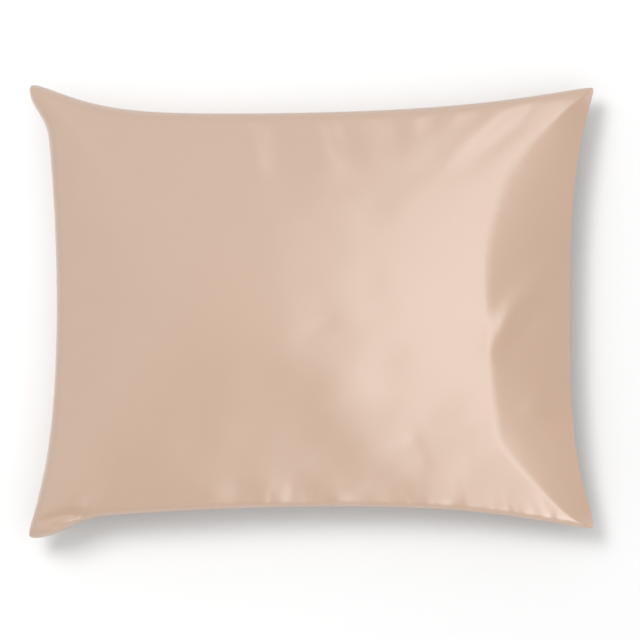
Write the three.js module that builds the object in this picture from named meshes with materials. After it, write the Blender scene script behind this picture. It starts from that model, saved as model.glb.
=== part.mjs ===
// A satin pillowcase on its pillow, lying on its back.
//
// Millimetres, Z up. X runs along the long side, from the tucked open end on the left to the
// sewn end on the right, and Y runs across. The origin is on the floor under the middle.
// The front panel turns round the open end and is full of its pillow, so it is one filled
// solid. The back panel is a sheet of its own, sewn on along three sides and hemmed along
// the fourth, where the pillow goes in.

import * as THREE from 'three';

// ---- Driving dimensions ----

const SPAN = { x: 635, y: 505 };       // tip to tip of the filled case, before its tips are rounded
const CHORD = { x: 571, y: 437 };      // seam to seam across the middle
const SEAM = { height: 54, tipDrop: 15, tipPower: 6, thickness: 1 };
const CROWN = {
  height: 92,                          // front panel's top above the seam
  s: 0.33, t: 0.5,                     // where it is highest, as shares of the length and width
  fallLeft: 4, fallAcross: 6,
  reachLeft: 0.33, reachAcross: 0.4, power: 2.3,
};
// The front sinks towards the sewn end: the share lost at one reach beyond s.
const LEAN = { s: 0.28, reach: 0.55, power: 2.1, fall: 0.31 };
const BACK_SHEET = { thickness: 1.4, hemThickness: 2.2, hemWidth: 25, hemStep: 4, hemFromEnd: 18 };
const PIECE_GAP = 0.3;                 // between the two panels
const FLOOR_SOFT = 5;                  // how gently the back turns flat on the floor
const FOLD_ROOT = 4;                   // folds start this far in from the seam
const FOLD_OPENS = 0.4;                // share of its length over which a fold comes to its height
const FOLD_CLOSES = 0.7;               // and over which it goes down again

// The four tips: place as shares of the half spans, and how far each is rounded back.
const TIPS = [
  { s: 0, t: 0, x: -1.013, y: -1.02, blunt: 4.5 },
  { s: 1, t: 0, x: 1.004, y: -0.977, blunt: 2.2 },
  { s: 0, t: 1, x: -1.008, y: 1.015, blunt: 4.2 },
  { s: 1, t: 1, x: 1.003, y: 1.0, blunt: 1.6 },
];
const TIP_REACH = 4;                   // how far along the seam the rounding is felt

// How the sides pull in between the tips: depth behind the ears and an even bow on top of it,
// then for the ear at each end of the side (left or bottom end first) its length, and a power
// that is higher the longer the ear stays wide.
const SIDES = {
  bottom: { ear: 20, bow: 12.5, lengths: [56, 108], powers: [3, 1.35] },
  top: { ear: 34.5, bow: 1, lengths: [69, 150], powers: [1.45, 1.15] },
  left: { ear: 17.5, bow: 17, lengths: [68, 38], powers: [1.3, 3] },
  right: { ear: 19.5, bow: 10.5, lengths: [62, 66], powers: [1.5, 1.3] },
};

// How each panel climbs from the seam: a steep start of a given height and run, then an even
// slope, and how softly that slope passes into what lies beside it. A long side's start grows
// towards the sewn end by the share grows, or shrinks where that is below 0.
const FRONT_SLOPES = [
  { side: 'left', start: 22, run: 2.5, slope: 0.48, soft: 60, grows: 0 },
  { side: 'top', start: 28, run: 3, slope: 0.35, soft: 45, grows: -0.3 },
  { side: 'bottom', start: 18, run: 2, slope: 0.41, soft: 34, grows: 0.8 },
];
const BACK_SLOPES = [
  { side: 'left', start: 24, run: 17, slope: 0.46, soft: 20, grows: 0 },
  { side: 'top', start: 24, run: 17, slope: 0.5, soft: 20, grows: 0 },
  { side: 'bottom', start: 24, run: 17, slope: 0.5, soft: 20, grows: 0 },
  { side: 'right', start: 24, run: 17, slope: 0.46, soft: 20, grows: 0 },
];
const GROWS_POWER = 6;                 // how late along the side the start grows

// The front ends in one slope from the sewn end up to a crease. The crease runs fromEnd in from
// that seam, further in towards the upper tip by the share leans. It draws near the seam over
// the given length at the upper tip, with a power that is higher the more sudden its turn, and
// runs nearly straight out to the lower tip. The slope bulges by a share of its height.
const CREASE = {
  fromEnd: 96, leans: 0.3, bulge: 0.34, soft: 1.4,
  lowerTip: { start: 21, run: 8, slope: 0.85, soft: 12 },
  upperTip: { length: 62, power: 1.2 },
};
const LEAST_REACH = 1;                 // the crease comes no nearer to the seam than this
const BACK_LIMIT = 200;                // deeper than the back would hang without the floor

// Folds of the front panel: a soft ridge (height over 0) or trough that runs from one point to
// another, bowed sideways in between, with its half width on either hand as one walks along it
// and the share of its height that is left at either end.
const FOLDS = [
  // towards the upper right tip
  { name: 'tip trough', from: [259, 232], to: [147, 138],
    bow: 3, left: 14, right: 15, height: -2, ends: [0.5, 0] },
  { name: 'tip dent', from: [254, 238], to: [218, 206],
    bow: 0, left: 8, right: 10, height: -1.2, ends: [0.5, 0] },
  { name: 'tip second ridge', from: [236, 236], to: [134, 146],
    bow: 5, left: 10, right: 18, height: 1.7, ends: [0.6, 0.2] },
  // hanging from the upper seam
  { name: 'upper ridge', from: [-70, 208], to: [-54, 126],
    bow: -4, left: 11, right: 14, height: 1.7, ends: [0.8, 0] },
  { name: 'upper trough', from: [-44, 218], to: [-26, 126],
    bow: 0, left: 26, right: 22, height: -3.4, ends: [1, 0] },
  { name: 'upper second ridge', from: [4, 218], to: [42, 136],
    bow: 6, left: 12, right: 15, height: 1.8, ends: [0.9, 0] },
  { name: 'upper second trough', from: [28, 212], to: [56, 150],
    bow: 0, left: 14, right: 14, height: -2.4, ends: [1, 0] },
  { name: 'upper third trough', from: [84, 214], to: [106, 166],
    bow: 0, left: 13, right: 20, height: -2.4, ends: [1, 0] },
  // across the crown and down to the lower seam
  { name: 'upper swell', from: [4, 142], to: [12, 56],
    bow: 0, left: 40, right: 60, height: 1.6, ends: [0.2, 0.2] },
  { name: 'crown fold', from: [2, -46], to: [108, -192],
    bow: -14, left: 34, right: 50, height: 4.6, ends: [0.3, 0.4] },
  { name: 'low swell', from: [126, -70], to: [146, -206],
    bow: 0, left: 84, right: 84, height: 3, ends: [0.2, 0.6] },
  { name: 'crown dent', from: [14, -4], to: [26, -30],
    bow: 0, left: 15, right: 34, height: -1.2, ends: [0.5, 0.3] },
  { name: 'low dent', from: [106, -132], to: [120, -164],
    bow: 0, left: 10, right: 24, height: -0.8, ends: [0.4, 0.6] },
  // on the sewn end
  { name: 'end spur', from: [196, -42], to: [246, 40],
    bow: 0, left: 13, right: 13, height: 4.2, ends: [0.3, 0.1] },
  { name: 'end streak', from: [230, 0], to: [283, 60],
    bow: -5, left: 14, right: 17, height: 2.2, ends: [0.3, 0.2] },
  { name: 'end streak shade', from: [222, -46], to: [292, 36],
    bow: -7, left: 15, right: 13, height: -1.6, ends: [0.2, 0.2] },
  { name: 'end lower streak', from: [236, -88], to: [268, -136],
    bow: 0, left: 14, right: 16, height: 2, ends: [0.2, 0.2] },
  // at the open end
  { name: 'upper left ridge', from: [-290, 232], to: [-186, 82],
    bow: -6, left: 14, right: 18, height: 3.6, ends: [0.8, 0] },
  { name: 'lower left ridge', from: [-296, -232], to: [-216, -158],
    bow: 4, left: 16, right: 18, height: 1.8, ends: [0.8, 0] },
  { name: 'left dimple', from: [-282, 148], to: [-258, 134],
    bow: 0, left: 16, right: 16, height: -2, ends: [1, 0] },
  { name: 'left middle dimple', from: [-280, 76], to: [-256, 72],
    bow: 0, left: 16, right: 20, height: -1.6, ends: [1, 0] },
  { name: 'left low dimple', from: [-284, -72], to: [-256, -66],
    bow: 0, left: 18, right: 18, height: -1.6, ends: [1, 0] },
  { name: 'left tip crease', from: [-248, -229], to: [-300, -235],
    bow: 4, left: 4, right: 6, height: -4, ends: [0.2, 0.6] },
  { name: 'left tip lip', from: [-306, -246], to: [-276, -246],
    bow: 0, left: 4, right: 4, height: 3, ends: [0.6, 0.2] },
];

// Puckers where the long seams gather the cloth: place along X, slant in X, length inwards
// from the seam, half width and height.
const PUCKERS = {
  bottom: [
    { x: -106, slant: 2, length: 40, width: 13, height: 0.5 },
    { x: -84, slant: 4, length: 48, width: 18, height: -1.1 },
    { x: -30, slant: -38, length: 50, width: 12, height: 0.7 },
    { x: -2, slant: -34, length: 50, width: 18, height: -1.2 },
    { x: 34, slant: -27, length: 50, width: 13, height: 0.7 },
    { x: 20, slant: 0, length: 14, width: 8, height: -0.6 },
    { x: 48, slant: 0, length: 26, width: 11, height: -0.9 },
    { x: 28, slant: 44, length: 50, width: 11, height: 0.7 },
    { x: 86, slant: 6, length: 50, width: 26, height: -1.4 },
    { x: 118, slant: 0, length: 16, width: 9, height: -0.5 },
    { x: 154, slant: 0, length: 18, width: 10, height: -0.8 },
    { x: 186, slant: 0, length: 15, width: 8, height: -0.6 },
    { x: 222, slant: 0, length: 13, width: 8, height: -0.6 },
  ],
  top: [
    { x: 120, slant: -14, length: 36, width: 10, height: 1 },
    { x: 144, slant: -20, length: 38, width: 11, height: -1.6 },
    { x: 170, slant: -24, length: 24, width: 8, height: 0.5 },
    { x: 196, slant: -20, length: 30, width: 10, height: -0.7 },
  ],
};

// Grid of the front. Every second line of it goes on across the back.
const END_STEPS = 4;                   // from the open end to the hem
const HEM_STEPS = 6;                   // across the hem
const STEP_STEPS = 2;                  // down the step at the hem's inner edge
const BODY_STEPS = 50;                 // from the hem to the sewn end
const ACROSS_STEPS = 44;
const LINE_EASE = 0.4;                 // how much closer the lines lie towards the seams
const SAME = 1e-9;                     // two shares closer than this are the same line
const PROBE = 1e-3;                    // share over which a slope is read
const LEAST_UPRIGHT = 0.5;             // the sheet's thickness is upright where it is steeper than this

const SATIN = new THREE.Color(0.8, 0.69, 0.61);
const SATIN_FINISH = { roughness: 0.4, metalness: 0 };

// ---- Plan: where a share s of the length and t of the width lies on the floor ----

function drawnIn(side, share, length) {
  const { ear, bow, lengths, powers } = SIDES[side];
  const behindFirst = 1 - Math.exp(-(((share * length) / lengths[0]) ** powers[0]));
  const behindLast = 1 - Math.exp(-((((1 - share) * length) / lengths[1]) ** powers[1]));
  return ear * behindFirst * behindLast + bow * 4 * share * (1 - share);
}

function plan(s, t) {
  const point = new THREE.Vector2(
    (1 - s) * drawnIn('left', t, SPAN.y) - s * drawnIn('right', t, SPAN.y),
    (1 - t) * drawnIn('bottom', s, SPAN.x) - t * drawnIn('top', s, SPAN.x),
  );
  for (const tip of TIPS) {
    const fromTip = { s: Math.abs(s - tip.s), t: Math.abs(t - tip.t) };
    const weight = (1 - fromTip.s) * (1 - fromTip.t);
    const away = fromTip.s * SPAN.x + fromTip.t * SPAN.y;
    const rounding = tip.blunt * Math.exp(-away / TIP_REACH);
    point.x += (weight * tip.x * SPAN.x) / 2 - Math.sign(tip.x) * rounding;
    point.y += (weight * tip.y * SPAN.y) / 2 - Math.sign(tip.y) * rounding;
  }
  return point;
}

// ---- Form: heights over the plan ----

function fromSide(side, s, t) {
  const distances = {
    left: s * CHORD.x, right: (1 - s) * CHORD.x,
    bottom: t * CHORD.y, top: (1 - t) * CHORD.y,
  };
  return distances[side];
}

function climb({ side, start, run, slope, grows }, s, t) {
  const distance = fromSide(side, s, t);
  const steep = start * (1 + grows * s ** GROWS_POWER) * (1 - Math.exp(-distance / run));
  return steep + slope * distance;
}

// The lower of two heights, rounded over where they meet. The rounding dies away at the seam.
function softLower(a, b, soft) {
  const reach = (soft * (a + b)) / (a + b + soft);
  const overlap = Math.max(reach - Math.abs(a - b), 0);
  return overlap > 0 ? Math.min(a, b) - (overlap * overlap) / (4 * reach) : Math.min(a, b);
}

function crown(s, t) {
  const left = Math.max(CROWN.s - s, 0) / CROWN.reachLeft;
  const across = Math.abs(t - CROWN.t) / CROWN.reachAcross;
  return CROWN.height - CROWN.fallLeft * left ** CROWN.power - CROWN.fallAcross * across ** CROWN.power;
}

function lean(s) {
  return 1 - LEAN.fall * (Math.max(s - LEAN.s, 0) / LEAN.reach) ** LEAN.power;
}

function seamHeight(s, t) {
  const tip = (Math.abs(2 * s - 1) * Math.abs(2 * t - 1)) ** SEAM.tipPower;
  return SEAM.height - SEAM.tipDrop * tip;
}

function swelling(slopes, top, s, t) {
  return slopes.reduce(
    (height, slope) => softLower(height, climb(slope, s, t), slope.soft),
    top,
  );
}

function pillowBody(s, t) {
  return swelling(FRONT_SLOPES, crown(s, t), s, t) * lean(s);
}

function creaseReach(t) {
  const { leans, lowerTip, upperTip } = CREASE;
  const up = t * CHORD.y;
  const down = ((1 - t) * CHORD.y) / upperTip.length;
  const fromEnd = CREASE.fromEnd * (1 + leans * (t - 0.5));
  const whole = fromEnd * (1 - Math.exp(-(down ** upperTip.power)));
  const line = lowerTip.start * (1 - Math.exp(-up / lowerTip.run)) + lowerTip.slope * up;
  return Math.max(softLower(line, whole, lowerTip.soft), LEAST_REACH);
}

function sewnEnd(s, t) {
  const reach = creaseReach(t);
  const share = fromSide('right', s, t) / reach;
  const inside = Math.min(share, 1);
  return pillowBody(1 - reach / CHORD.x, t) * (share + CREASE.bulge * inside * (1 - inside));
}

function frontSwelling(s, t) {
  return softLower(pillowBody(s, t), sewnEnd(s, t), CREASE.soft);
}

// ---- Folds ----

function shareAlong(inside, first, last) {
  const opening = THREE.MathUtils.smoothstep(inside, 0, FOLD_OPENS);
  const closing = THREE.MathUtils.smoothstep(1 - inside, 0, FOLD_CLOSES);
  return THREE.MathUtils.lerp(first, 1, opening) * THREE.MathUtils.lerp(last, 1, closing);
}

function foldHeight(fold, x, y) {
  const start = new THREE.Vector2(...fold.from);
  const run = new THREE.Vector2(...fold.to).sub(start);
  const length = run.length();
  run.divideScalar(length);
  const out = new THREE.Vector2(x, y).sub(start);
  const u = out.dot(run) / length;
  const inside = THREE.MathUtils.clamp(u, 0, 1);
  const aside = out.cross(run) - fold.bow * 4 * inside * (1 - inside);
  const past = (u - inside) * length;
  const width = aside > 0 ? fold.right : fold.left;
  const spread = (aside / width) ** 2 + (past / ((fold.left + fold.right) / 2)) ** 2;
  return fold.height * shareAlong(inside, ...fold.ends) * Math.exp(-spread);
}

function puckerFolds(side, inwards) {
  const seamAt = (x) => plan(x / SPAN.x + 0.5, side === 'top' ? 1 : 0).y;
  return PUCKERS[side].map(({ x, slant, length, width, height }) => ({
    from: [x, seamAt(x)], to: [x + slant, seamAt(x) + inwards * length],
    bow: 0, left: width, right: width, height, ends: [1, 0],
  }));
}

const ALL_FOLDS = [...FOLDS, ...puckerFolds('bottom', 1), ...puckerFolds('top', -1)];

function folds(s, t) {
  const { x, y } = plan(s, t);
  const inFromSeam = Math.min(...Object.keys(SIDES).map((side) => fromSide(side, s, t)));
  const rooted = 1 - Math.exp(-inFromSeam / FOLD_ROOT);
  return rooted * ALL_FOLDS.reduce((sum, fold) => sum + foldHeight(fold, x, y), 0);
}

// ---- The three skins, as points over the plan ----

function frontSkin(s, t) {
  const { x, y } = plan(s, t);
  const z = seamHeight(s, t) + frontSwelling(s, t) + folds(s, t);
  return new THREE.Vector3(x, y, z + SEAM.thickness / 2);
}

const UNDER_FRONT = BACK_SHEET.thickness + PIECE_GAP;

function fillingSkin(s, t) {
  const { x, y } = plan(s, t);
  const overFloor = seamHeight(s, t) - SEAM.thickness / 2 - UNDER_FRONT;
  const depth = swelling(BACK_SLOPES, BACK_LIMIT, s, t);
  const stopped = softLower(depth, overFloor, Math.min(FLOOR_SOFT, overFloor));
  return new THREE.Vector3(x, y, UNDER_FRONT + overFloor - stopped);
}

function hemShare() {
  const { hemFromEnd, hemWidth } = BACK_SHEET;
  return { from: hemFromEnd / CHORD.x, to: (hemFromEnd + hemWidth) / CHORD.x };
}

function sheetThickness(s) {
  return s <= hemShare().to + SAME ? BACK_SHEET.hemThickness : BACK_SHEET.thickness;
}

// How upright the filling's skin stands to the floor: 1 where it lies flat.
function uprightShare(s, t) {
  const along = fillingSkin(Math.min(s + PROBE, 1), t).sub(fillingSkin(Math.max(s - PROBE, 0), t));
  const across = fillingSkin(s, Math.min(t + PROBE, 1)).sub(fillingSkin(s, Math.max(t - PROBE, 0)));
  return Math.max(along.cross(across).normalize().z, LEAST_UPRIGHT);
}

function belowFilling(s, t, depth) {
  const point = fillingSkin(s, t);
  point.z -= depth / uprightShare(s, t);
  return point;
}

const sheetInside = (s, t) => belowFilling(s, t, PIECE_GAP);
const sheetOutside = (s, t) => belowFilling(s, t, PIECE_GAP + sheetThickness(s));

// ---- Grid lines, closer together towards the seams ----

function spread(from, to, steps, easing) {
  return Array.from({ length: steps }, (_, k) => {
    const share = k / steps;
    return THREE.MathUtils.lerp(from, to, THREE.MathUtils.lerp(share, easing(share), LINE_EASE));
  });
}

const even = (share) => share;
const closerAtEnd = (share) => Math.sin((share * Math.PI) / 2);
const closerAtBoth = (share) => 0.5 - 0.5 * Math.cos(share * Math.PI);

function lengthwiseLines() {
  const hem = hemShare();
  const hemFoot = hem.to + BACK_SHEET.hemStep / CHORD.x;
  return [
    ...spread(0, hem.from, END_STEPS, even),
    ...spread(hem.from, hem.to, HEM_STEPS, even),
    ...spread(hem.to, hemFoot, STEP_STEPS, even),
    ...spread(hemFoot, 1, BODY_STEPS, closerAtEnd),
    1,
  ];
}

const LINES_S = lengthwiseLines();
const LINES_T = [...spread(0, 1, ACROSS_STEPS, closerAtBoth), 1];
const LAST_I = LINES_S.length - 1;
const LAST_J = LINES_T.length - 1;

// ---- Closed bodies from skins over the grid ----

// The coarse cell from line i, j to i + 2, j + 2. On the rim it takes in the fine line between,
// and it starts at a corner that is off the rim, so that a fan of triangles fills it.
function coarseCell(i, j) {
  const loop = [[i, j]];
  if (j === 0) loop.push([i + 1, j]);
  loop.push([i + 2, j]);
  if (i + 2 === LAST_I) loop.push([i + 2, j + 1]);
  loop.push([i + 2, j + 2]);
  if (j + 2 === LAST_J) loop.push([i + 1, j + 2]);
  loop.push([i, j + 2]);
  if (i === 0) loop.push([i, j + 1]);
  const innerI = i === 0 ? i + 2 : i;
  const innerJ = j === 0 ? j + 2 : j;
  const start = loop.findIndex(([a, b]) => a === innerI && b === innerJ);
  return [...loop.slice(start), ...loop.slice(0, start)];
}

function coarseCells(firstI) {
  const cells = [];
  for (let i = firstI; i < LAST_I; i += 2) {
    for (let j = 0; j < LAST_J; j += 2) cells.push(coarseCell(i, j));
  }
  return cells;
}

function fineCells() {
  const cells = [];
  for (let i = 0; i < LAST_I; i += 1) {
    for (let j = 0; j < LAST_J; j += 1) cells.push([[i, j], [i + 1, j], [i + 1, j + 1], [i, j + 1]]);
  }
  return cells;
}

// Round the edge once, anticlockwise from above. A free edge inside the case is coarse.
function rim(firstI) {
  const edgeStep = firstI === 0 ? 1 : 2;
  const loop = [];
  for (let i = firstI; i < LAST_I; i += 1) loop.push([i, 0]);
  for (let j = 0; j < LAST_J; j += 1) loop.push([LAST_I, j]);
  for (let i = LAST_I; i > firstI; i -= 1) loop.push([i, LAST_J]);
  for (let j = LAST_J; j > 0; j -= edgeStep) loop.push([firstI, j]);
  return loop;
}

// A closed body: an upper skin, a lower skin and the narrow wall between them round the rim.
function closedBody(upper, upperCells, lower, lowerCells, rimLoop) {
  const positions = [];
  const indices = [];
  const layer = (skin) => {
    const known = new Map();
    return ([i, j]) => {
      const key = i * LINES_T.length + j;
      if (!known.has(key)) {
        known.set(key, positions.length / 3);
        positions.push(...skin(LINES_S[i], LINES_T[j]).toArray());
      }
      return known.get(key);
    };
  };
  const up = layer(upper);
  const low = layer(lower);
  const fan = (corners) => {
    for (let k = 1; k < corners.length - 1; k += 1) indices.push(corners[0], corners[k], corners[k + 1]);
  };
  const turned = ([first, ...others]) => [first, ...others.reverse()];
  for (const cell of upperCells) fan(cell.map(up));
  for (const cell of lowerCells) fan(turned(cell.map(low)));
  rimLoop.forEach((here, k) => {
    const next = rimLoop[(k + 1) % rimLoop.length];
    fan([low(here), low(next), up(next), up(here)]);
  });
  const geometry = new THREE.BufferGeometry();
  geometry.setAttribute('position', new THREE.Float32BufferAttribute(positions, 3));
  geometry.setIndex(indices);
  geometry.computeVertexNormals();
  return geometry;
}

// ---- The pieces ----

function satin() {
  return new THREE.MeshStandardMaterial({ color: SATIN, ...SATIN_FINISH });
}

function filledCase() {
  const geometry = closedBody(frontSkin, fineCells(), fillingSkin, coarseCells(0), rim(0));
  const mesh = new THREE.Mesh(geometry, satin());
  mesh.name = 'filled_case';
  return mesh;
}

function backPanel() {
  const cells = coarseCells(END_STEPS);
  const geometry = closedBody(sheetInside, cells, sheetOutside, cells, rim(END_STEPS));
  const mesh = new THREE.Mesh(geometry, satin());
  mesh.name = 'back_panel';
  return mesh;
}

// Stands the case over the origin, by the middle of its outline.
function centred(...meshes) {
  const group = new THREE.Group();
  group.add(...meshes);
  const middle = new THREE.Box3().setFromObject(group).getCenter(new THREE.Vector3());
  group.position.set(-middle.x, -middle.y, 0);
  return group;
}

export default centred(filledCase(), backPanel());
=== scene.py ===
# %% [markdown]
# # A satin pillowcase on its pillow
#
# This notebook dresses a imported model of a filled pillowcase. The frame holds two plain
# solids: `filled_case`, the front panel with the pillow in it, and `back_panel`, the sheet
# that is sewn on behind. Here each is replaced by a finer mesh of the same form and size, and
# gets a satin that is woven out of nodes.

# %% Load the frame
import bmesh
import bpy
import numpy as np
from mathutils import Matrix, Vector


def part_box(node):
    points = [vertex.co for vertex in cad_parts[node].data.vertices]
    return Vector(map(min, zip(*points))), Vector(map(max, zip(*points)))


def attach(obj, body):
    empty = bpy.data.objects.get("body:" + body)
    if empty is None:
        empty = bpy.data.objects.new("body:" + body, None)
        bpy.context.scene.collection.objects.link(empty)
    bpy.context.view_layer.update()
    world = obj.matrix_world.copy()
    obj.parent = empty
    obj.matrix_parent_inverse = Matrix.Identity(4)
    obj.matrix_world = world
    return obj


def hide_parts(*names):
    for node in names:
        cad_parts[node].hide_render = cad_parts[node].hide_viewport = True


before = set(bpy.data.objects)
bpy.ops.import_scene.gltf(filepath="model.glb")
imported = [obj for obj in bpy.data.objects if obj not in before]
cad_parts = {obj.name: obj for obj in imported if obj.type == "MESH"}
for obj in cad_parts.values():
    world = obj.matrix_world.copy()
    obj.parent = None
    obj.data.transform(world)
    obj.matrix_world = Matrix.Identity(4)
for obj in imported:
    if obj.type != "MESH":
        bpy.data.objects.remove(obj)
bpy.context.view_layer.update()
MM = 0.001

# %% [markdown]
# ## The outline
#
# A pillowcase is cut square, but its filling draws the sides in and leaves an ear at every
# corner. A maker would see four tips and four shallow curves. So the outline is described
# that way: a place for each tip, and for each side how deep it is drawn in, how long its two
# ears are and how wide they stay. Sizes are millimetres.
#
# Every point of the cloth has two shares, `s` along the length from the open end and `t`
# across the width. `plan` turns the two shares into a place over the floor.

# %% Outline
SPAN = {"x": 635.0, "y": 505.0}
CHORD = {"x": 571.0, "y": 437.0}
TIPS = [
    {"s": 0, "t": 0, "x": -1.013, "y": -1.02, "blunt": 4.5},
    {"s": 1, "t": 0, "x": 1.004, "y": -0.977, "blunt": 2.2},
    {"s": 0, "t": 1, "x": -1.008, "y": 1.015, "blunt": 4.2},
    {"s": 1, "t": 1, "x": 1.003, "y": 1.0, "blunt": 1.6},
]
TIP_REACH = 4.0
SIDES = {
    "bottom": {"ear": 20, "bow": 12.5, "lengths": (56, 108), "powers": (3, 1.35)},
    "top": {"ear": 34.5, "bow": 1, "lengths": (69, 150), "powers": (1.45, 1.15)},
    "left": {"ear": 17.5, "bow": 17, "lengths": (68, 38), "powers": (1.3, 3)},
    "right": {"ear": 19.5, "bow": 10.5, "lengths": (62, 66), "powers": (1.5, 1.3)},
}


# An arch is 0 at both ends of a run and 1 in its middle.
def arch(share):
    return 4 * share * (1 - share)


def drawn_in(side, share, length):
    size = SIDES[side]
    share = np.clip(share, 0, 1)
    behind_first = 1 - np.exp(-(share * length / size["lengths"][0]) ** size["powers"][0])
    behind_last = 1 - np.exp(-((1 - share) * length / size["lengths"][1]) ** size["powers"][1])
    return size["ear"] * behind_first * behind_last + size["bow"] * arch(share)


def plan(s, t):
    x = (1 - s) * drawn_in("left", t, SPAN["y"]) - s * drawn_in("right", t, SPAN["y"])
    y = (1 - t) * drawn_in("bottom", s, SPAN["x"]) - t * drawn_in("top", s, SPAN["x"])
    for tip in TIPS:
        off_s = np.abs(s - tip["s"])
        off_t = np.abs(t - tip["t"])
        weight = (1 - off_s) * (1 - off_t)
        away = off_s * SPAN["x"] + off_t * SPAN["y"]
        rounding = tip["blunt"] * np.exp(-away / TIP_REACH)
        x = x + weight * tip["x"] * SPAN["x"] / 2 - np.sign(tip["x"]) * rounding
        y = y + weight * tip["y"] * SPAN["y"] / 2 - np.sign(tip["y"]) * rounding
    return x, y


def from_side(side, s, t):
    distances = {
        "left": s * CHORD["x"],
        "right": (1 - s) * CHORD["x"],
        "bottom": t * CHORD["y"],
        "top": (1 - t) * CHORD["y"],
    }
    return distances[side]


def from_seam(s, t):
    return np.minimum.reduce([from_side(side, s, t) for side in SIDES])


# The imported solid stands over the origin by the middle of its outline, so the shift that
# puts it there is read from its box.
tip_shares = np.array([0.0, 1.0])
tip_x, tip_y = plan(*np.meshgrid(tip_shares, tip_shares))
case_low, case_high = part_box("filled_case")
MIDDLE = Vector((
    (case_low[0] + case_high[0]) / 2 / MM - (tip_x.min() + tip_x.max()) / 2,
    (case_low[1] + case_high[1]) / 2 / MM - (tip_y.min() + tip_y.max()) / 2,
))
print("tips span, mm:", round(float(np.ptp(tip_x)), 1), "x", round(float(np.ptp(tip_y)), 1))
print("shift to the frame, mm:", [round(value, 2) for value in MIDDLE])

# %% [markdown]
# ## The front's form
#
# Over a soft pillow the cloth climbs steeply from its seam and then eases into the crown. The
# form could be sculpted or left to a simulation, but then its one sharp crease and the long
# sinking of the crown would land somewhere else. Here each side has its own climb, and the
# lower of two climbs wins, rounded over where they meet. A climb's steep start can grow or
# shrink along its side. All of it sinks by a share that grows towards the sewn end, the lean.
# Heights are millimetres above the seam.

# %% Climbs
FRONT_SLOPES = [
    {"side": "left", "start": 22, "run": 2.5, "slope": 0.48, "soft": 60, "grows": 0},
    {"side": "top", "start": 28, "run": 3, "slope": 0.35, "soft": 45, "grows": -0.3},
    {"side": "bottom", "start": 18, "run": 2, "slope": 0.41, "soft": 34, "grows": 0.8},
]
GROWS_POWER = 6
TINY = 1e-9


def climb(size, s, t):
    distance = from_side(size["side"], s, t)
    steep = size["start"] * (1 + size["grows"] * s ** GROWS_POWER)
    return steep * (1 - np.exp(-distance / size["run"])) + size["slope"] * distance


def soft_lower(a, b, soft):
    reach = soft * (a + b) / (a + b + soft)
    overlap = np.maximum(reach - np.abs(a - b), 0)
    return np.minimum(a, b) - overlap * overlap / (4 * np.maximum(reach, TINY))


def swelling(slopes, top, s, t):
    for size in slopes:
        top = soft_lower(top, climb(size, s, t), size["soft"])
    return top


print("front climbs:", [size["side"] for size in FRONT_SLOPES])

# %% Crown and lean
CROWN = {"height": 92, "s": 0.33, "t": 0.5, "fall_left": 4, "fall_across": 6,
         "reach_left": 0.33, "reach_across": 0.4, "power": 2.3}
LEAN = {"s": 0.28, "reach": 0.55, "power": 2.1, "fall": 0.31}


def crown(s, t):
    left = np.maximum(CROWN["s"] - s, 0) / CROWN["reach_left"]
    across = np.abs(t - CROWN["t"]) / CROWN["reach_across"]
    fallen = CROWN["fall_left"] * left ** CROWN["power"]
    return CROWN["height"] - fallen - CROWN["fall_across"] * across ** CROWN["power"]


def pillow_body(s, t):
    lean = 1 - LEAN["fall"] * (np.maximum(s - LEAN["s"], 0) / LEAN["reach"]) ** LEAN["power"]
    return swelling(FRONT_SLOPES, crown(s, t), s, t) * lean


print("crown over the seam, mm:", round(float(pillow_body(CROWN["s"], CROWN["t"])), 1))

# %% [markdown]
# ## The sewn end
#
# At the sewn end the cloth is pulled flat, from the seam up to a crease. A fold drawn over the
# crown could stand for it, but the light changes at this crease at once, so it has to be a real
# arris. It is a line of its own: so far in from the seam, nearer to it towards both tips,
# nearly straight at the lower one. Along it the flat end has the body's height, and from there
# it falls to the seam. The seam lies well off the floor and drops towards the tips.

# %% Crease and sewn end
CREASE = {"from_end": 96, "leans": 0.3, "bulge": 0.34, "soft": 1.4}
CREASE_LOWER_TIP = {"start": 21, "run": 8, "slope": 0.85, "soft": 12}
CREASE_UPPER_TIP = {"length": 62, "power": 1.2}
MIDDLE_SHARE = 0.5
LEAST_REACH = 1


def crease_reach(t):
    up = t * CHORD["y"]
    down = (1 - t) * CHORD["y"] / CREASE_UPPER_TIP["length"]
    whole = CREASE["from_end"] * (1 + CREASE["leans"] * (t - MIDDLE_SHARE))
    whole = whole * (1 - np.exp(-down ** CREASE_UPPER_TIP["power"]))
    start = CREASE_LOWER_TIP["start"] * (1 - np.exp(-up / CREASE_LOWER_TIP["run"]))
    line = start + CREASE_LOWER_TIP["slope"] * up
    return np.maximum(soft_lower(line, whole, CREASE_LOWER_TIP["soft"]), LEAST_REACH)


def sewn_end(s, t):
    reach = crease_reach(t)
    share = from_side("right", s, t) / reach
    inside = np.minimum(share, 1)
    rise = share + CREASE["bulge"] * inside * (1 - inside)
    return pillow_body(1 - reach / CHORD["x"], t) * rise


def front_swelling(s, t):
    return soft_lower(pillow_body(s, t), sewn_end(s, t), CREASE["soft"])


middle_reach = float(crease_reach(MIDDLE_SHARE))
print("crease in from the sewn end, mm:", round(middle_reach, 1))

# %% Seam height
SEAM = {"height": 54, "tip_drop": 15, "tip_power": 6, "thickness": 1}


def seam_height(s, t):
    tip = (np.abs(2 * s - 1) * np.abs(2 * t - 1)) ** SEAM["tip_power"]
    return SEAM["height"] - SEAM["tip_drop"] * tip


print("seam over the floor at a tip, mm:", seam_height(0, 0))
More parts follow.
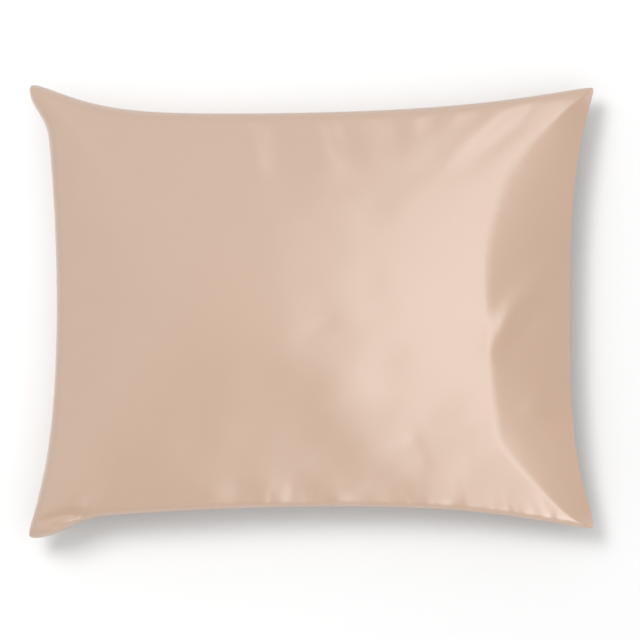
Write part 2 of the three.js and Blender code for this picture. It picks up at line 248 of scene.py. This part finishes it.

# %% [markdown]
# ## Folds placed one by one
#
# Slippery cloth keeps few folds, but satin shows each of them as a streak of light with a
# darker one beside it. So the folds are drawn one by one, as a dressmaker would pin them: a
# soft ridge or trough from one point to another. Each has its own width on either hand, which
# makes one flank steeper than the other, as gravity does.

# %% Fold table
FOLDS = [
    # name, from, to, bow, left and right half width, height, share left at either end
    ("tip trough", (259, 232), (147, 138), 3, (14, 15), -2.0, (0.5, 0)),
    ("tip dent", (254, 238), (218, 206), 0, (8, 10), -1.2, (0.5, 0)),
    ("tip second ridge", (236, 236), (134, 146), 5, (10, 13), 1.5, (0.4, 0.2)),
    ("upper fall", (60, 236), (210, 234), 0, (20, 30), -1.6, (0.5, 0.3)),
    ("upper ridge", (-70, 208), (-54, 126), -4, (11, 14), 1.7, (0.8, 0)),
    ("upper trough", (-44, 218), (-26, 126), 0, (26, 22), -3.4, (1, 0)),
    ("upper second ridge", (4, 218), (42, 136), 6, (12, 15), 1.8, (0.9, 0)),
    ("upper second trough", (28, 212), (56, 150), 0, (14, 14), -2.4, (1, 0)),
    ("upper third trough", (84, 214), (106, 166), 0, (13, 20), -2.0, (1, 0)),
    ("upper swell", (4, 142), (12, 56), 0, (40, 60), 1.6, (0.2, 0.2)),
    ("crown fold", (-14, -36), (106, -190), -10, (48, 50), 4.0, (0.3, 0.4)),
    ("low swell", (136, -80), (150, -206), 0, (84, 84), 1.8, (0.2, 0.6)),
    ("crown dent", (10, -4), (22, -30), 0, (15, 34), -0.8, (0.5, 0.3)),
    ("low dent", (106, -132), (120, -164), 0, (10, 24), -0.8, (0.4, 0.6)),
    ("end spur", (196, -42), (246, 40), 0, (13, 13), 4.2, (0.3, 0.1)),
    ("end streak", (230, 0), (283, 60), -5, (14, 17), 2.2, (0.3, 0.2)),
    ("end streak shade", (222, -46), (292, 36), -7, (15, 13), -1.6, (0.2, 0.2)),
    ("end lower streak", (236, -88), (268, -136), 0, (14, 16), 2.0, (0.2, 0.2)),
    ("upper left ridge", (-290, 232), (-186, 82), -6, (14, 18), 3.6, (0.8, 0)),
    ("lower roll", (-236, -190), (-10, -186), 0, (60, 22), 2.4, (0.4, 0)),
    ("lower left ridge", (-296, -232), (-216, -158), 4, (16, 18), 1.8, (0.8, 0)),
    ("left dimple", (-282, 148), (-258, 134), 0, (16, 16), -2.0, (1, 0)),
    ("left middle dimple", (-280, 76), (-256, 72), 0, (16, 20), -1.6, (1, 0)),
    ("left low dimple", (-284, -72), (-256, -66), 0, (18, 18), -1.6, (1, 0)),
    ("left tip crease", (-248, -229), (-300, -235), 4, (4, 6), -4.0, (0.2, 0.6)),
    ("left tip lip", (-306, -246), (-276, -246), 0, (4, 4), 3.0, (0.6, 0.2)),
]
print("folds:", len(FOLDS))

# %% Height of one fold
FOLD_OPENS = 0.4
FOLD_CLOSES = 0.7


def eased(value, low, high):
    share = np.clip((value - low) / (high - low), 0, 1)
    return share * share * (3 - 2 * share)


def fold_height(fold, x, y):
    _, start, end, bow, widths, height, ends = fold
    run = Vector(end) - Vector(start)
    length = run.length
    run.normalize()
    out_x = x - start[0]
    out_y = y - start[1]
    along = (out_x * run.x + out_y * run.y) / length
    inside = np.clip(along, 0, 1)
    aside = out_x * run.y - out_y * run.x - bow * arch(inside)
    past = (along - inside) * length
    width = np.where(aside > 0, widths[1], widths[0])
    spread = (aside / width) ** 2 + (past / (sum(widths) / 2)) ** 2
    opening = ends[0] + (1 - ends[0]) * eased(inside, 0, FOLD_OPENS)
    closing = ends[1] + (1 - ends[1]) * eased(1 - inside, 0, FOLD_CLOSES)
    return height * opening * closing * np.exp(-spread)


# %% [markdown]
# ## Puckers along the long seams
#
# Where a long seam draws its cloth in, short folds stand up from the stitches. They could be a
# ripple of one length, but real ones differ, and each catches its own spark of light. They are
# folds like those above, only rooted in the seam, so a short row is enough for each. A negative
# height is a hollow.

# %% Puckers
FOLD_ROOT = 4
# Place along the seam, slant, length, half width, height.
PUCKERS = {
    "bottom": [
        (-106, 2, 40, 13, 0.5), (-84, 4, 48, 18, -1.1), (-30, -38, 50, 14, 0.5),
        (-2, -34, 50, 18, -1.2), (34, -27, 50, 13, 0.7), (20, 0, 14, 8, -0.6),
        (48, 0, 26, 11, -0.9), (28, 44, 50, 12, 0.5), (86, 6, 50, 26, -1.4),
        (118, 0, 16, 9, -0.5), (154, 0, 18, 10, -0.8), (186, 0, 15, 8, -0.6),
        (222, 0, 13, 8, -0.6),
    ],
    "top": [
        (120, -14, 36, 10, 1.0), (144, -20, 38, 11, -1.6), (170, -24, 24, 8, 0.3),
        (196, -20, 30, 10, -0.9),
    ],
}


def seam_point(side, x):
    share = np.float64(x / SPAN["x"] + MIDDLE_SHARE)
    return float(plan(share, np.float64(side == "top"))[1])


def pucker_folds(side, inwards):
    rows = []
    for x, slant, length, width, height in PUCKERS[side]:
        root = (x, seam_point(side, x))
        end = (x + slant, root[1] + inwards * length)
        rows.append((side, root, end, 0, (width, width), height, (1, 0)))
    return rows


def folds(s, t):
    x, y = plan(s, t)
    rooted = 1 - np.exp(-from_seam(s, t) / FOLD_ROOT)
    drawn = FOLDS + pucker_folds("bottom", 1) + pucker_folds("top", -1)
    return rooted * sum(fold_height(fold, x, y) for fold in drawn)


print("puckers:", {side: len(rows) for side, rows in PUCKERS.items()})

# %% [markdown]
# ## Small unevenness
#
# A filling of fibre is never quite even, and a sewn edge gathers a little between its
# stitches. Both are too small to draw one by one, so they are drawn by chance: long waves of
# under half a millimetre over the whole front, and short gathers that grow out of the three
# sewn sides. The generator is seeded, so every run makes the same pillow.

# %% Waves
SEED = 7
CHANCE = np.random.default_rng(SEED)
FULL_TURN = 2 * np.pi
WAVES = {
    "count": 40, "shortest": 38, "longest": 120, "height": 0.045, "height_at": 90, "root": 20,
}
wave_rows = []
for _ in range(WAVES["count"]):
    wave_length = CHANCE.uniform(WAVES["shortest"], WAVES["longest"])
    wave_turn = CHANCE.uniform(0, FULL_TURN)
    wave_start = CHANCE.uniform(0, FULL_TURN)
    wave_rows.append((wave_length, wave_turn, wave_start))


def waves(s, t):
    x, y = plan(s, t)
    total = 0
    for length, turn, start in wave_rows:
        along = x * np.cos(turn) + y * np.sin(turn)
        total = total + length / WAVES["height_at"] * np.sin(FULL_TURN * along / length + start)
    return total * WAVES["height"] * (1 - np.exp(-from_seam(s, t) / WAVES["root"]))


print("waves:", len(wave_rows))

# %% Gathers
# For each sewn side: how many gathers, and their longest reach inwards.
GATHERS = {"bottom": (70, 26), "top": (56, 20), "right": (40, 18)}
GATHER_PLACE = (0.02, 0.98)
GATHER_LEAN = 0.35
GATHER_REACH = (0.45, 1.0)
GATHER_WIDTH = (2.6, 5.2)
GATHER_HEIGHT = (0.12, 0.4)


def gather(longest):
    place = CHANCE.uniform(*GATHER_PLACE)
    lean = CHANCE.uniform(-GATHER_LEAN, GATHER_LEAN)
    reach = CHANCE.uniform(*GATHER_REACH) * longest
    width = CHANCE.uniform(*GATHER_WIDTH)
    height = CHANCE.uniform(*GATHER_HEIGHT) * CHANCE.choice((-1, 1))
    return place, lean, reach, width, height


gather_rows = {}
for side, (count, longest) in GATHERS.items():
    gather_rows[side] = [gather(longest) for _ in range(count)]


def gathers(s, t):
    total = np.zeros_like(s)
    for side, rows in gather_rows.items():
        inwards = from_side(side, s, t)
        if side == "right":
            along = t
            length = CHORD["y"]
        else:
            along = s
            length = CHORD["x"]
        for place, lean, reach, width, height in rows:
            aside = (along - place) * length - lean * inwards
            total = total + height * np.exp(-(aside / width) ** 2 - (inwards / reach) ** 2)
    return total


print("gathers:", {side: len(rows) for side, rows in gather_rows.items()})

# %% [markdown]
# ## Skins
#
# A skin gives a point of space for every pair of shares. The front skin is the form, its
# folds and its unevenness. The skin under the filling is flat on the floor and climbs to the
# same seam. The back sheet hangs below that skin, by its own thickness, and is thicker where
# it is turned over into a hem.

# %% Front skin


def placed(s, t, z):
    x, y = plan(s, t)
    return np.stack([x + MIDDLE.x, y + MIDDLE.y, z], axis=-1)


def front_skin(s, t):
    z = seam_height(s, t) + SEAM["thickness"] / 2 + front_swelling(s, t)
    return placed(s, t, z + folds(s, t) + waves(s, t) + gathers(s, t))


# %% Skin under the filling
SHEET = {
    "thickness": 1.4, "hem_thickness": 2.2, "hem_width": 25, "hem_step": 4, "hem_from_end": 18,
}
PIECE_GAP = 0.3
UNDER_FRONT = SHEET["thickness"] + PIECE_GAP
BACK_CLIMB = {"start": 24, "run": 17, "soft": 20, "grows": 0}
BACK_STEEPNESS = {"left": 0.46, "top": 0.5, "bottom": 0.5, "right": 0.46}
BACK_SLOPES = [dict(BACK_CLIMB, side=side, slope=slope) for side, slope in BACK_STEEPNESS.items()]
BACK_LIMIT = 200.0
FLOOR_SOFT = 5


def filling_skin(s, t):
    over_floor = seam_height(s, t) - SEAM["thickness"] / 2 - UNDER_FRONT
    depth = swelling(BACK_SLOPES, np.full_like(s, BACK_LIMIT), s, t)
    stopped = soft_lower(depth, over_floor, np.minimum(FLOOR_SOFT, over_floor))
    return placed(s, t, UNDER_FRONT + over_floor - stopped)


print("filling over the floor, mm:", UNDER_FRONT)

# %% Skins of the back sheet
PROBE = 1e-3
LEAST_UPRIGHT = 0.5


def below_filling(s, t, depth):
    along = filling_skin(np.minimum(s + PROBE, 1), t) - filling_skin(np.maximum(s - PROBE, 0), t)
    across = filling_skin(s, np.minimum(t + PROBE, 1)) - filling_skin(s, np.maximum(t - PROBE, 0))
    facing = np.cross(along, across)
    upright = np.maximum(facing[:, 2] / np.linalg.norm(facing, axis=1), LEAST_UPRIGHT)
    point = filling_skin(s, t)
    point[:, 2] -= depth / upright
    return point


def sheet_thickness(s):
    past_hem = s * CHORD["x"] - SHEET["hem_from_end"] - SHEET["hem_width"]
    doubled = 1 - eased(past_hem, 0, SHEET["hem_step"])
    return SHEET["thickness"] + (SHEET["hem_thickness"] - SHEET["thickness"]) * doubled


def sheet_inside(s, t):
    return below_filling(s, t, PIECE_GAP)


def sheet_outside(s, t):
    return below_filling(s, t, PIECE_GAP + sheet_thickness(s))


print("sheet, mm:", SHEET["thickness"], "and at its hem:", SHEET["hem_thickness"])

# %% [markdown]
# ## From skins to a closed mesh
#
# Both pieces are two skins that meet along a narrow edge. A bmesh grid is the natural start:
# its flat points are read as shares, a duplicate of it becomes the lower skin, and bridging
# the two rims closes the body. The UV map is written while the grid is still flat, so it holds
# the uncut cloth's own metres, and the weave follows every fold. The lines lie closer
# together near the seams, where the cloth turns most.

# %% Closed bodies
FLAT = {"x": 0.660, "y": 0.508}
LOWER_SHIFT = 0.002
LINE_EASE = 0.6
GRID_HALF = 0.5


def closer_at_seams(share):
    eased_twice = (1 - np.cos(share * np.pi)) / 2
    return share + LINE_EASE * (eased_twice - share)


def piece_from(net, name):
    mesh = bpy.data.meshes.new(name)
    net.to_mesh(mesh)
    net.free()
    piece = bpy.data.objects.new(name, mesh)
    bpy.context.scene.collection.objects.link(piece)
    return piece


def share_grid(segments, first_share):
    net = bmesh.new()
    net.loops.layers.uv.new("weave")
    columns, rows = segments
    bmesh.ops.create_grid(net, x_segments=columns, y_segments=rows, size=GRID_HALF)
    for vertex in net.verts:
        share = closer_at_seams(vertex.co.x + GRID_HALF)
        vertex.co.x = first_share + (1 - first_share) * share
        vertex.co.y = closer_at_seams(vertex.co.y + GRID_HALF)
    return net


def closed_body(name, upper, lower, segments, first_share=0.0):
    net = share_grid(segments, first_share)
    cloth = net.loops.layers.uv["weave"]
    copied = bmesh.ops.duplicate(net, geom=net.verts[:] + net.edges[:] + net.faces[:])["geom"]
    under = {item for item in copied if isinstance(item, bmesh.types.BMVert)}
    turned = [item for item in copied if isinstance(item, bmesh.types.BMFace)]
    bmesh.ops.reverse_faces(net, faces=turned)
    rim = [edge for edge in net.edges if edge.is_boundary]
    for edge in rim:
        edge.smooth = False
    bmesh.ops.bridge_loops(net, edges=rim)
    for face in net.faces:
        face.smooth = True
        for loop in face.loops:
            shift = LOWER_SHIFT if loop.vert in under else 0.0
            place = loop.vert.co
            loop[cloth].uv = (place.x * FLAT["x"] + shift, place.y * FLAT["y"] + shift)
    shares = np.array([vertex.co[:2] for vertex in net.verts])
    above = upper(shares[:, 0], shares[:, 1])
    below = lower(shares[:, 0], shares[:, 1])
    for index, vertex in enumerate(net.verts):
        vertex.co = Vector(below[index] if vertex in under else above[index]) * MM
    return piece_from(net, name)


LITRES = 1000


def describe(piece):
    bpy.context.view_layer.update()
    net = bmesh.new()
    net.from_mesh(piece.data)
    litres = net.calc_volume(signed=True) * LITRES
    open_edges = sum(not edge.is_manifold for edge in net.edges)
    net.free()
    sizes = [round(value / MM, 1) for value in piece.dimensions]
    print(piece.name, sizes, "mm,", round(litres, 2), "litres,", open_edges, "open edges")


# %% [markdown]
# ## The filled front
#
# The front panel and the pillow under it are one padded piece. The cloth alone could be an open
# sheet laid over the filling, but the pillow is never seen, and one closed body has no gap at
# the seam. The grid is fine enough for the gathers.

# %% Front panel
FRONT_SEGMENTS = (246, 194)
front = closed_body("front_panel_filled", front_skin, filling_skin, FRONT_SEGMENTS)
describe(front)
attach(front, "root")
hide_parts("filled_case")

# %% [markdown]
# ## The back panel
#
# The back is one flat-cut sheet, sewn to the front on three sides. Its fourth side, at the
# open end, is turned over twice into a hem, because the pillow goes in there and pulls at it.
# It is the same kind of closed body, only thin. Its grid starts at the hem's free edge.

# %% Back panel
BACK_SEGMENTS = (150, 120)
hem_share = SHEET["hem_from_end"] / CHORD["x"]
back = closed_body("back_panel_sheet", sheet_inside, sheet_outside, BACK_SEGMENTS, hem_share)
describe(back)
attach(back, "root")
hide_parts("back_panel")

# %% [markdown]
# ## Stitches along the hem
#
# The hem is held by one row of lockstitch near its inner edge. A stitch is a short bead of
# thread lying on the cloth, so each is a small icosphere, drawn out along the row and sunk
# half into the sheet. One mesh holds them all.

# %% Hem stitches
STITCH = {"pitch": 2.8, "length": 2.1, "width": 0.5, "from_fold": 2.5, "sink": 0.05}
STITCH_ROW = {"first": 0.004, "last": 0.996, "probes": 4000}
stitch_share = (SHEET["hem_from_end"] + SHEET["hem_width"] - STITCH["from_fold"]) / CHORD["x"]
row_shares = np.linspace(STITCH_ROW["first"], STITCH_ROW["last"], STITCH_ROW["probes"])
row_points = sheet_outside(np.full_like(row_shares, stitch_share), row_shares)
row_steps = np.linalg.norm(np.diff(row_points, axis=0), axis=1)
row_lengths = np.concatenate([[0.0], np.cumsum(row_steps)])
stitch_count = int(row_lengths[-1] / STITCH["pitch"])
stitch_places = (np.arange(stitch_count) + MIDDLE_SHARE) * STITCH["pitch"]
stitch_shares = np.interp(stitch_places, row_lengths, row_shares)


def stitch_axes(run):
    across = Vector((1, 0, 0))
    across = (across - across.dot(run) * run).normalized()
    outwards = run.cross(across)
    half_width = STITCH["width"] / 2
    return [run * STITCH["length"] / 2, across * half_width, outwards * half_width]


def stitches_net():
    net = bmesh.new()
    here = sheet_outside(np.full(stitch_count, stitch_share), stitch_shares)
    there = sheet_outside(np.full(stitch_count, stitch_share), stitch_shares + PROBE)
    for start, end in zip(here, there):
        bead = bmesh.ops.create_icosphere(net, subdivisions=1, radius=1.0)["verts"]
        axes = stitch_axes((Vector(end) - Vector(start)).normalized())
        middle = Vector(start) + axes[2].normalized() * STITCH["sink"]
        for vertex in bead:
            spread = sum((axis * share for axis, share in zip(axes, vertex.co)), Vector())
            vertex.co = (middle + spread) * MM
    bmesh.ops.recalc_face_normals(net, faces=net.faces[:])
    for face in net.faces:
        face.smooth = True
    return net


stitches = piece_from(stitches_net(), "hem_stitches")
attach(stitches, "root")
print("hem stitches:", stitch_count)

# %% [markdown]
# ## Helpers for nodes
#
# A material is a tree of nodes joined by links. Written out in full, the links would bury what
# the satin is made of, so a few helpers carry them. They make a group or a material, add a node
# with its settings, and join up the kinds of node that both materials use.

# %% Groups, materials and nodes


def new_group(name, inputs, outputs):
    group = bpy.data.node_groups.new(name, "ShaderNodeTree")
    for label, kind in inputs:
        group.interface.new_socket(name=label, in_out="INPUT", socket_type=kind)
    for label, kind in outputs:
        group.interface.new_socket(name=label, in_out="OUTPUT", socket_type=kind)
    given = group.nodes.new("NodeGroupInput").outputs
    wanted = group.nodes.new("NodeGroupOutput").inputs
    return group, given, wanted


def new_material(name):
    material = bpy.data.materials.new(name)
    material.use_nodes = True
    tree = material.node_tree
    return material, tree, tree.nodes["Principled BSDF"]


def add_node(tree, kind, **settings):
    node = tree.nodes.new(kind)
    for label, value in settings.items():
        setattr(node, label, value)
    return node


# %% Numbers and colours over the surface
PLAIN_NOISE = 0.5


def math_node(tree, operation, *values):
    node = add_node(tree, "ShaderNodeMath", operation=operation)
    for socket, value in zip(node.inputs, values):
        if isinstance(value, (int, float)):
            socket.default_value = value
        else:
            tree.links.new(value, socket)
    return node.outputs[0]


def mapped(tree, place, label, value):
    node = add_node(tree, "ShaderNodeMapping", vector_type="POINT")
    node.inputs[label].default_value = value
    tree.links.new(place, node.inputs["Vector"])
    return node.outputs["Vector"]


def noise(tree, place, scale, detail, roughness=PLAIN_NOISE):
    node = add_node(tree, "ShaderNodeTexNoise")
    node.inputs["Scale"].default_value = scale
    node.inputs["Detail"].default_value = detail
    node.inputs["Roughness"].default_value = roughness
    tree.links.new(place, node.inputs["Vector"])
    return node.outputs["Fac"]


def blend(tree, share, low, high):
    node = add_node(tree, "ShaderNodeMix", data_type="RGBA")
    node.inputs["A"].default_value = low
    node.inputs["B"].default_value = high
    tree.links.new(share, node.inputs["Factor"])
    return node.outputs["Result"]


def bump(tree, height, distance, strength=1.0):
    node = add_node(tree, "ShaderNodeBump")
    node.inputs["Strength"].default_value = strength
    node.inputs["Distance"].default_value = distance
    tree.links.new(height, node.inputs["Height"])
    return node


# %% [markdown]
# ## A satin weave as a node group
#
# Satin shines because most of its surface is long threads, floating over several crossing
# ones before each dips under. A Brick texture laid on its side draws just that: every brick is
# a float, and the rows are offset so that the dips don't line up. Real yarn is also a little
# uneven, which a stretched Noise adds as slubs. The group gives out a height for bump and a
# tone for colour. It reads the piece's own UV map, in metres of flat cloth.

# %% Satin weave group
FLOATS = {
    "threads": 6, "across": 1.0, "offset": 0.4, "offset_rows": 2, "dip": 0.25, "dip_softness": 1.0,
}
SLUBS = {"stretch": (900.0, 22.0, 1.0), "scale": 1.0, "detail": 2.0, "height": 0.8}
QUARTER_TURN = (0, 0, np.pi / 2)


def satin_weave_group():
    group, given, wanted = new_group(
        "satin_weave",
        [("Place", "NodeSocketVector"), ("Threads per metre", "NodeSocketFloat")],
        [("Height", "NodeSocketFloat"), ("Tone", "NodeSocketFloat")],
    )
    turned = mapped(group, given["Place"], "Rotation", QUARTER_TURN)
    floats = add_node(group, "ShaderNodeTexBrick", offset=FLOATS["offset"])
    floats.offset_frequency = FLOATS["offset_rows"]
    floats.inputs["Mortar Size"].default_value = FLOATS["dip"]
    floats.inputs["Mortar Smooth"].default_value = FLOATS["dip_softness"]
    floats.inputs["Brick Width"].default_value = FLOATS["threads"]
    floats.inputs["Row Height"].default_value = FLOATS["across"]
    group.links.new(turned, floats.inputs["Vector"])
    group.links.new(given["Threads per metre"], floats.inputs["Scale"])
    drawn_out = mapped(group, given["Place"], "Scale", SLUBS["stretch"])
    slubs = noise(group, drawn_out, SLUBS["scale"], SLUBS["detail"])
    raised = math_node(group, "SUBTRACT", 1.0, floats.outputs["Fac"])
    height = math_node(group, "MULTIPLY_ADD", slubs, SLUBS["height"], raised)
    group.links.new(height, wanted["Height"])
    group.links.new(slubs, wanted["Tone"])
    return group


SATIN_WEAVE = satin_weave_group()
print("group:", SATIN_WEAVE.name, [item.name for item in SATIN_WEAVE.interface.items_tree])

# %% [markdown]
# ## Satin
#
# A satin's highlight isn't round: its threads scatter light across themselves, so a lamp turns
# into a streak. The Principled shader has this as anisotropy, with a tangent that follows the
# UV map. Filament yarn is also glossier than most cloth, which a high index of refraction
# stands for. Its colour barely changes, only by a faint cloudiness and the slubs. A trace of
# crumple keeps the highlight from being drawn too smooth.

# %% Satin material
SATIN_LIGHT = (0.485, 0.312, 0.210, 1.0)
SATIN_DEEP = (0.455, 0.288, 0.190, 1.0)
SATIN_GLOSS = {
    "roughness": 0.33, "index": 1.8, "specular": 1.0, "anisotropy": 0.6, "turn": 0.25,
}
GLOSS_CHANGE = 0.05
THREADS_PER_METRE = 1700.0
CLOUDS = {"scale": 14.0, "detail": 2.0, "share": 0.6}
CRUMPLE = {"scale": 70.0, "detail": 3.0, "roughness": 0.55, "height": 0.00008}
THREAD_BUMP = {"strength": 0.5, "height": 0.00002}


def satin_material(name):
    material, tree, shader = new_material(name)
    shader.inputs["IOR"].default_value = SATIN_GLOSS["index"]
    shader.inputs["Specular IOR Level"].default_value = SATIN_GLOSS["specular"]
    shader.inputs["Anisotropic"].default_value = SATIN_GLOSS["anisotropy"]
    shader.inputs["Anisotropic Rotation"].default_value = SATIN_GLOSS["turn"]
    tangent = add_node(tree, "ShaderNodeTangent", direction_type="UV_MAP", uv_map="weave")
    tree.links.new(tangent.outputs["Tangent"], shader.inputs["Tangent"])
    place = add_node(tree, "ShaderNodeUVMap", uv_map="weave").outputs["UV"]

    weave = add_node(tree, "ShaderNodeGroup", node_tree=SATIN_WEAVE)
    weave.inputs["Threads per metre"].default_value = THREADS_PER_METRE
    tree.links.new(place, weave.inputs["Place"])
    clouds = noise(tree, place, CLOUDS["scale"], CLOUDS["detail"])
    cloudy = math_node(tree, "MULTIPLY", clouds, CLOUDS["share"])
    slub_share = 1 - CLOUDS["share"]
    tone = math_node(tree, "MULTIPLY_ADD", weave.outputs["Tone"], slub_share, cloudy)
    tree.links.new(blend(tree, tone, SATIN_DEEP, SATIN_LIGHT), shader.inputs["Base Color"])

    smoothest = SATIN_GLOSS["roughness"] - GLOSS_CHANGE / 2
    rough = math_node(tree, "MULTIPLY_ADD", tone, GLOSS_CHANGE, smoothest)
    tree.links.new(rough, shader.inputs["Roughness"])

    dents = noise(tree, place, CRUMPLE["scale"], CRUMPLE["detail"], CRUMPLE["roughness"])
    crumple = bump(tree, dents, CRUMPLE["height"])
    raised = weave.outputs["Height"]
    threads = bump(tree, raised, THREAD_BUMP["height"], THREAD_BUMP["strength"])
    tree.links.new(crumple.outputs["Normal"], threads.inputs["Normal"])
    tree.links.new(threads.outputs["Normal"], shader.inputs["Normal"])
    return material


SATIN = satin_material("satin")
for piece in (front, back):
    piece.data.materials.append(SATIN)
print("satin nodes:", len(SATIN.node_tree.nodes))

# %% [markdown]
# ## Sewing thread
#
# The thread is spun, so it is duller than the satin round it, and its twist shows as fine
# slanting bands. A Wave texture on Object coordinates is enough at this size.

# %% Thread material
THREAD_COLOUR = (0.46, 0.30, 0.205, 1.0)
THREAD_SHADE = (0.36, 0.225, 0.15, 1.0)
THREAD_TWIST = {"scale": 900.0, "rough_change": 0.1, "least_rough": 0.5}


def thread_material(name):
    material, tree, shader = new_material(name)
    place = add_node(tree, "ShaderNodeTexCoord").outputs["Object"]
    twist = add_node(tree, "ShaderNodeTexWave", bands_direction="DIAGONAL")
    twist.inputs["Scale"].default_value = THREAD_TWIST["scale"]
    tree.links.new(place, twist.inputs["Vector"])
    bands = twist.outputs["Fac"]
    tree.links.new(blend(tree, bands, THREAD_SHADE, THREAD_COLOUR), shader.inputs["Base Color"])
    least_rough = THREAD_TWIST["least_rough"]
    rough = math_node(tree, "MULTIPLY_ADD", bands, THREAD_TWIST["rough_change"], least_rough)
    tree.links.new(rough, shader.inputs["Roughness"])
    return material


THREAD = thread_material("sewing_thread")
stitches.data.materials.append(THREAD)
print("thread nodes:", len(THREAD.node_tree.nodes))

# %% [markdown]
# ## Floor
#
# The pillow lies on a plain pale floor, a single face a hair below it, so that the two never
# share a plane. Its paint is matt and mirrors nothing, because a glossy floor would show the
# softboxes.

# %% Floor
FLOOR_SIZE = 12.0
FLOOR_DROP = 0.0002
FLOOR_PAINT = (0.56, 0.56, 0.56, 1.0)
FLOOR_ROUGHNESS = 0.9


def floor_material(name):
    material, _, shader = new_material(name)
    shader.inputs["Base Color"].default_value = FLOOR_PAINT
    shader.inputs["Roughness"].default_value = FLOOR_ROUGHNESS
    shader.inputs["Specular IOR Level"].default_value = 0.0
    return material


floor_net = bmesh.new()
bmesh.ops.create_grid(floor_net, x_segments=1, y_segments=1, size=FLOOR_SIZE / 2)
bmesh.ops.translate(floor_net, verts=floor_net.verts[:], vec=(0, 0, -FLOOR_DROP))
floor = piece_from(floor_net, "floor")
floor.data.materials.append(floor_material("floor_paint"))
print("floor, m:", FLOOR_SIZE, "square")

# %% [markdown]
# ## Sky
#
# Satin is pictured by what it mirrors, so the whole round matters, not only the lamps. A real
# room could be drawn in, but its shapes would show. A plain wide sky, brighter at the upper
# left, gives a soft change of tone from side to side. Colours are shown plainly, without a film
# look, which would grey the pale cloth.

# %% Sky
SKY = {
    "colour": (1, 1, 1, 1), "middle": 0.80, "tilt": 0.37,
    "towards": Vector((-0.55, 0.60, 0.58)).normalized(),
}


def sky():
    world = bpy.data.worlds.new("soft_sky")
    world.use_nodes = True
    tree = world.node_tree
    direction = add_node(tree, "ShaderNodeTexCoord").outputs["Generated"]
    towards = add_node(tree, "ShaderNodeVectorMath", operation="DOT_PRODUCT")
    towards.inputs[1].default_value = SKY["towards"]
    tree.links.new(direction, towards.inputs[0])
    lie = towards.outputs["Value"]
    strength = math_node(tree, "MULTIPLY_ADD", lie, SKY["tilt"], SKY["middle"])
    background = tree.nodes["Background"]
    background.inputs["Color"].default_value = SKY["colour"]
    tree.links.new(strength, background.inputs["Strength"])
    return world


bpy.context.scene.world = sky()
bpy.context.scene.view_settings.view_transform = "Standard"
print("sky from", SKY["middle"] - SKY["tilt"], "to", SKY["middle"] + SKY["tilt"])

# %% [markdown]
# ## Softboxes
#
# A long softbox to the right of the camera lies in the mirror of every part that tilts a few
# degrees that way, and the steep sewn end looks past it, which leaves a crisp darker face. A
# second, lower softbox carries the first one on round the front.
#
# The floor wants another light than the cloth does: nearly white, with short soft shadows at
# the lower right. One lamp could not be tuned to both. So each lamp is linked to what it
# lights, two of them to the cloth and two to the floor, and the sky is shared.

# %% Softboxes
# Every softbox faces this point.
LIT_POINT = Vector((0.12, -0.2, 0.1))


def lit_only(name, pieces):
    collection = bpy.data.collections.new(name)
    for piece in pieces:
        collection.objects.link(piece)
    return collection


CLOTH = lit_only("cloth_pieces", (front, back, stitches))
GROUND = lit_only("ground", (floor,))
SOFTBOXES = [
    # name, place, width, length, watts, what it lights
    ("long_softbox", (1.08, -0.2, 2.2), 1.25, 4.4, 24.0, CLOTH),
    ("low_softbox", (1.3, -2.9, 1.7), 1.2, 1.6, 21.0, CLOTH),
    ("shadow_softbox", (-1.33, 1.33, 3.3), 1.4, 1.4, 116.0, GROUND),
    ("overhead_softbox", (0.3, -0.3, 2.5), 2.4, 2.4, 22.0, GROUND),
]


def softbox(name, place, width, length, watts, receivers):
    light = bpy.data.lights.new(name, "AREA")
    light.shape = "RECTANGLE"
    light.size = length
    light.size_y = width
    light.energy = watts
    lamp = bpy.data.objects.new(name, light)
    lamp.location = place
    lamp.rotation_euler = (LIT_POINT - Vector(place)).to_track_quat("-Z", "Y").to_euler()
    lamp.light_linking.receiver_collection = receivers
    bpy.context.scene.collection.objects.link(lamp)
    return lamp


for row in SOFTBOXES:
    softbox(*row)
print("softboxes:", [row[0] for row in SOFTBOXES])

# %% [markdown]
# ## Camera
#
# The pillow is seen straight from above. A camera near it would make its crown look larger than
# its seam, so this one hangs high, with a long lens. `seen_width` is the width that fills the
# frame at the height of the seam.

# %% Camera
CAMERA = {"x": 0.009, "y": -0.010, "above": 2.6, "focus_height": 0.054, "seen_width": 0.718}
SENSOR = 36.0
lens = bpy.data.cameras.new("camera")
lens.sensor_width = SENSOR
lens.lens = SENSOR * CAMERA["above"] / CAMERA["seen_width"]
camera = bpy.data.objects.new("camera", lens)
camera.location = (CAMERA["x"], CAMERA["y"], CAMERA["focus_height"] + CAMERA["above"])
bpy.context.scene.collection.objects.link(camera)
bpy.context.scene.camera = camera
print("lens, mm:", round(lens.lens, 1))

# %% [markdown]
# ## Finish
#
# Last, the view layer is brought up to date.

# %% Update
bpy.context.view_layer.update()
